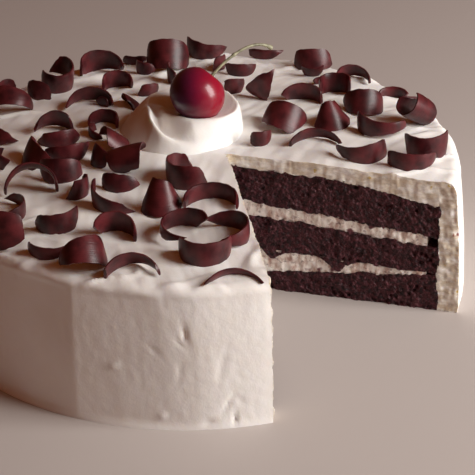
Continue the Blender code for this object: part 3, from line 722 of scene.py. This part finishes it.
def make_cherry():
    """A slightly flattened ball with a dimple where the stem grows."""
    bm = bmesh.new()
    bmesh.ops.create_uvsphere(bm, u_segments=96, v_segments=64, radius=CHERRY_RADIUS)
    for vertex in bm.verts:
        across = vertex.co.xy.length / CHERRY_RADIUS
        if vertex.co.z > 0:
            vertex.co.z -= CHERRY_DIMPLE * max(0, 1 - across / CHERRY_DIMPLE_REACH) ** 1.5
        vertex.co.z *= CHERRY_SQUASH
        vertex.co *= 1 + 0.008 * ripple(vertex.co, 11, 22)
    bm.transform(Matrix.Translation(CHERRY_PLACE) @ STEM_RISE.to_track_quat("Z", "Y").to_matrix().to_4x4())
    add_piece("ripe_cherry", bm, cherry, "cherry")


def make_stem():
    """A thin stem with one joint along it and a torn, thicker end."""
    bm = bmesh.new()
    root = CHERRY_PLACE + STEM_RISE.normalized() * (CHERRY_SQUASH * (CHERRY_RADIUS - CHERRY_DIMPLE) - 0.5)

    def at(way):
        return root + way * STEM_RISE + way**2 * STEM_BEND + way**6 * STEM_DROOP

    ring = None
    for step in range(STEM_STEPS + 1):
        way = step / STEM_STEPS
        along = (at(way + 0.01) - at(way - 0.01)).normalized()
        joint = math.exp(-(((way - STEM_JOINT_AT) / STEM_JOINT_WIDTH) ** 2))
        swell = 1 + STEM_END * max(0, 7 * way - 6) + STEM_JOINT * joint
        swell += STEM_ROOT * max(0, 1 - 8 * way) + 0.12 * ripple(at(way), 4, 23)
        thick = STEM_THICKNESS / 2 * swell
        closed = step in (0, STEM_STEPS)
        made = bmesh.ops.create_circle(bm, segments=STEM_SIDES, radius=thick, cap_ends=closed)
        turn = along.to_track_quat("Z", "Y").to_matrix().to_4x4()
        bmesh.ops.transform(bm, matrix=Matrix.Translation(at(way)) @ turn, verts=made["verts"])
        edges = [edge for edge in bm.edges if all(vertex in made["verts"] for vertex in edge.verts)]
        if ring:
            bmesh.ops.bridge_loops(bm, edges=ring + edges)
        ring = edges
    bmesh.ops.recalc_face_normals(bm, faces=bm.faces)
    add_piece("thin_stem", bm, stem, "cherry_stem")


# ---------------------------------------------------------------- chocolate


def curl_strip(
    x, y, facing, lean, tilt, radius, sweep, start, middle, end, flare=0, pitch=0, steps=CURL_STEPS, seed=0
):
    """One shaving that rolled up as it came off the block, its edges thin and torn, its corners worn."""
    bm = bmesh.new()
    section = []
    for side, rows in ((1, range(CURL_ROWS + 1)), (-1, range(CURL_ROWS, -1, -1))):
        for row in rows:
            height = row / CURL_ROWS
            thick = CURL_THICKNESS / 2 * (0.45 + 0.55 * math.sin(math.pi * height) ** 0.5)
            section.append((radius + side * thick, height))
    turn = math.radians(sweep)
    first = Matrix.Rotation(-turn / 2, 3, "Z")
    face = bm.faces.new([bm.verts.new(first @ Vector((r, 0, z))) for r, z in section])
    bmesh.ops.spin(bm, geom=[face], cent=(0, 0, 0), axis=(0, 0, 1), angle=turn, steps=steps)
    bmesh.ops.recalc_face_normals(bm, faces=bm.faces)
    along = bm.verts.layers.float_vector.new("shaving")
    for vertex in bm.verts:
        way = math.atan2(vertex.co.y, vertex.co.x) / turn
        across = vertex.co.z
        width = middle + (end - start) * way + 2 * (start + end - 2 * middle) * way**2
        place = Vector((way * radius * turn, across * width, 40 * seed))
        vertex[along] = place
        torn = CURL_TORN * ripple(place, 2.5, 31) * abs(2 * across - 1) ** 3
        vertex.co.z = (across - 0.5) * width * (1 - CURL_TAPER * (2 * way) ** 4) + pitch * way + torn
        wider = CURL_OPENING * way + flare * (across - 0.5) + 0.03 * ripple(place, 9, 32)
        vertex.co.xy += vertex.co.xy.normalized() * radius * wider
        corner = CURL_CORNER * noise.noise(Vector((0.5 + seed, math.copysign(3.5, way), 0.5)))
        short = abs(corner) * (across if corner > 0 else 1 - across) * turn * (2 * abs(way)) ** 3
        ragged = 0
        if abs(way) > 0.499:  # the strip's two ends
            ragged = CURL_RAGGED * ripple(Vector((across * width, 0, 7 * seed)), 1.6, 33)
        angle = ragged / radius - math.copysign(short, way)
        vertex.co.xy = Matrix.Rotation(angle, 2) @ vertex.co.xy
    for angle, axis in ((tilt, "X"), (lean, "Y"), (facing, "Z")):
        bm.transform(Matrix.Rotation(math.radians(angle), 4, axis))
    centre = sum((vertex.co for vertex in bm.verts), Vector()) / len(bm.verts)
    bmesh.ops.translate(bm, verts=bm.verts, vec=(x - centre.x, y - centre.y, 0))
    clearance = min(vertex.co.z - coat_top(vertex.co.xy.length) for vertex in bm.verts)
    bmesh.ops.translate(bm, verts=bm.verts, vec=(0, 0, -CURL_SINK - clearance))
    return bm


def make_shavings():
    """The smaller shavings, joined in one mesh."""
    joined = bmesh.new()
    for number, values in enumerate(SHAVINGS):
        small = curl_strip(*values, steps=SHAVING_STEPS, seed=80 + number)
        mesh = bpy.data.meshes.new("shaving")
        small.to_mesh(mesh)
        small.free()
        joined.from_mesh(mesh)
        bpy.data.meshes.remove(mesh)
    add_piece("small_shavings", joined, chocolate, None, 60)


# ---------------------------------------------------------------- floor, light and camera


def make_studio():
    """A plain pale floor, a tall window to the right, a weak lamp in front and a warm dim room."""
    bm = bmesh.new()
    bmesh.ops.create_grid(bm, x_segments=1, y_segments=1, size=4)
    mesh = bpy.data.meshes.new("floor")
    bm.to_mesh(mesh)
    bm.free()
    floor = bpy.data.objects.new("floor", mesh)
    bpy.context.scene.collection.objects.link(floor)
    made = bpy.data.materials.new("pale_floor")
    made.use_nodes = True
    shader = made.node_tree.nodes["Principled BSDF"]
    set_inputs(made.node_tree, shader, Base_Color=hex_colour("BEB5B0"), Roughness=0.8)
    mesh.materials.append(made)
    for name, place, size, power, colour in LAMPS:
        light = bpy.data.lights.new(name, "AREA")
        light.shape = "RECTANGLE"
        light.size, light.size_y = size
        light.energy = power
        light.color = hex_colour(colour)[:3]
        lamp = bpy.data.objects.new(name, light)
        lamp.location = place
        lamp.rotation_euler = (LAMPS_AIM - Vector(place)).to_track_quat("-Z", "Y").to_euler()
        bpy.context.scene.collection.objects.link(lamp)
    world = bpy.data.worlds.new("room")
    world.use_nodes = True
    glow = world.node_tree.nodes["Background"]
    set_inputs(world.node_tree, glow, Color=hex_colour("A45526"), Strength=0.27)
    bpy.context.scene.world = world
    bpy.context.scene.view_settings.view_transform = "Standard"


def make_camera():
    """A long lens that looks down on the cake, turned a little to the right and rolled by a degree."""
    lens = bpy.data.cameras.new("camera")
    lens.lens = CAMERA_LENS
    lens.sensor_width = CAMERA_SENSOR
    yaw, pitch, roll = (math.radians(angle) for angle in (CAMERA_YAW, CAMERA_PITCH, CAMERA_ROLL))
    ahead = Vector((math.sin(yaw) * math.cos(pitch), math.cos(yaw) * math.cos(pitch), -math.sin(pitch)))
    right = Vector((math.cos(yaw), -math.sin(yaw), 0))
    down = ahead.cross(right)
    right, down = (
        math.cos(roll) * right + math.sin(roll) * down,
        -math.sin(roll) * right + math.cos(roll) * down,
    )
    camera = bpy.data.objects.new("camera", lens)
    turn = Matrix((right, -down, -ahead)).transposed()
    camera.matrix_world = Matrix.Translation(CAMERA_PLACE) @ turn.to_4x4()
    bpy.context.scene.collection.objects.link(camera)
    bpy.context.scene.camera = camera


cream = whipped_cream()
filling = filling_cream()
sponge = chocolate_sponge()
cherry = cherry_skin()
stem = cherry_stem()
chocolate = dark_chocolate()
knife = make_knife()
make_coat()
for name, node, under, over in (
    ("bottom_sponge", "sponge_bottom", lambda radius: 0, bottom_sponge_top),
    ("middle_sponge", "sponge_middle", middle_sponge_under, middle_sponge_top),
    ("top_sponge", "sponge_top", top_sponge_under, top_sponge_top),
):
    make_layer(name, node, SPONGE_RADIUS, under, over, crumb_relief, sponge, 0.1)
for name, node, under, over in (
    ("lower_filling", "filling_lower", bottom_sponge_top, middle_sponge_under),
    ("upper_filling", "filling_upper", middle_sponge_top, top_sponge_under),
):
    make_layer(name, node, FILLING_RADIUS, under, over, cream_relief, filling, 0.2)
bpy.data.objects.remove(knife)
make_rosette()
make_cherry()
make_stem()
for number, values in enumerate(CURLS, 1):
    strip = curl_strip(*values, seed=number)
    add_piece(f"chocolate_curl_{number:02}", strip, chocolate, f"curl_{number:02}", 60)
make_shavings()
make_studio()
make_camera()
